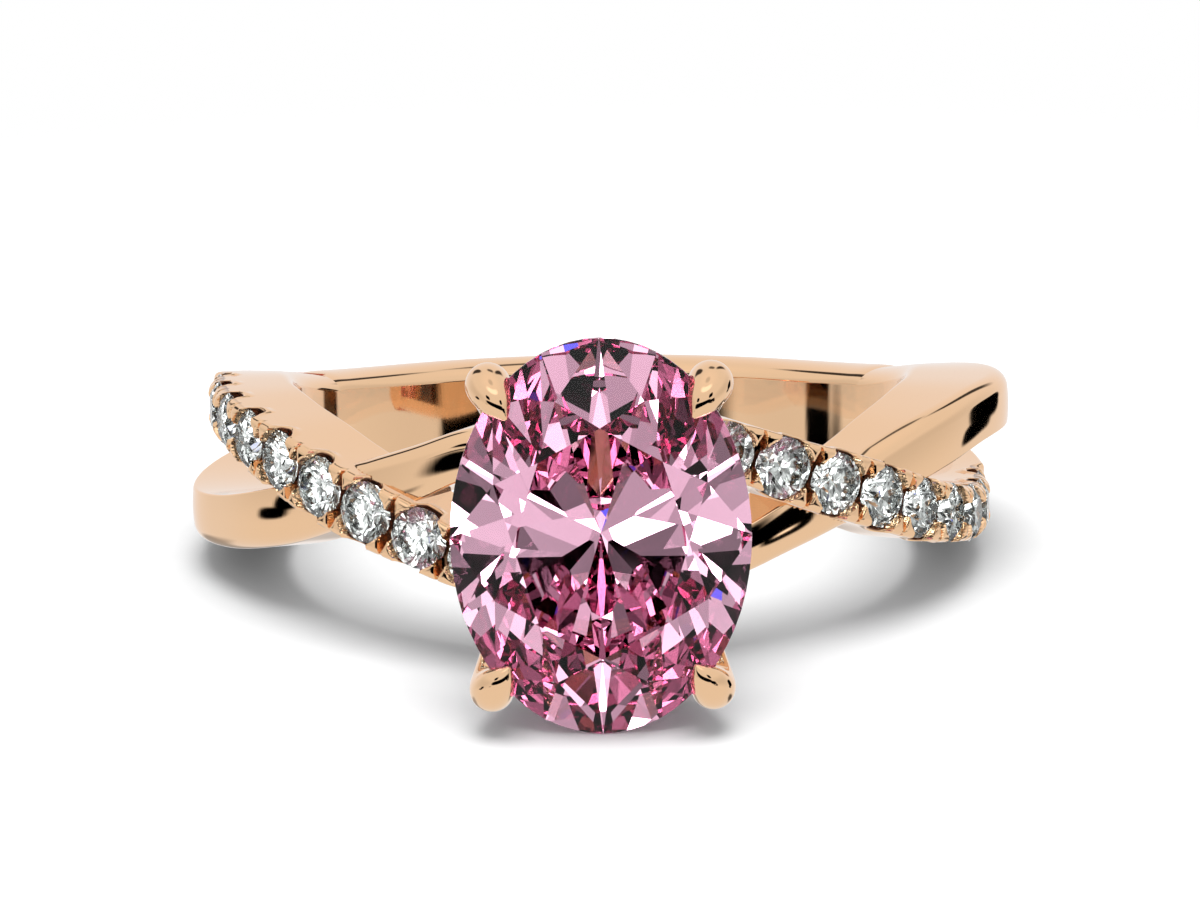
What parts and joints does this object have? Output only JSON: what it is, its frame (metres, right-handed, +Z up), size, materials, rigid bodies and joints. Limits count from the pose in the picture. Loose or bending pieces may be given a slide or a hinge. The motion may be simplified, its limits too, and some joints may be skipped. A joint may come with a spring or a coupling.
{
  "type": "crossover engagement ring",
  "caption": "Rose gold ring whose plain and paved strands twist past each other, with a four-claw head and an oval stone, lying on its side.",
  "frame": {"origin": "centre of the ring's box on the surface it lies on", "axes": "+Z up from the surface, nearly along the finger hole; the centre stone faces -Y; +X to the right, seen from the stone"},
  "size_m": [0.0226, 0.0267, 0.01],
  "materials": {
    "rose_gold": "mirror polished rose gold",
    "pink_stone": "faceted dusty pink gemstone",
    "small_stones": "faceted colourless gemstones"
  },
  "bodies": {
    "root": {"mounting": "rose_gold", "centre_stone": "pink_stone"}
  },
  "joints": []
}
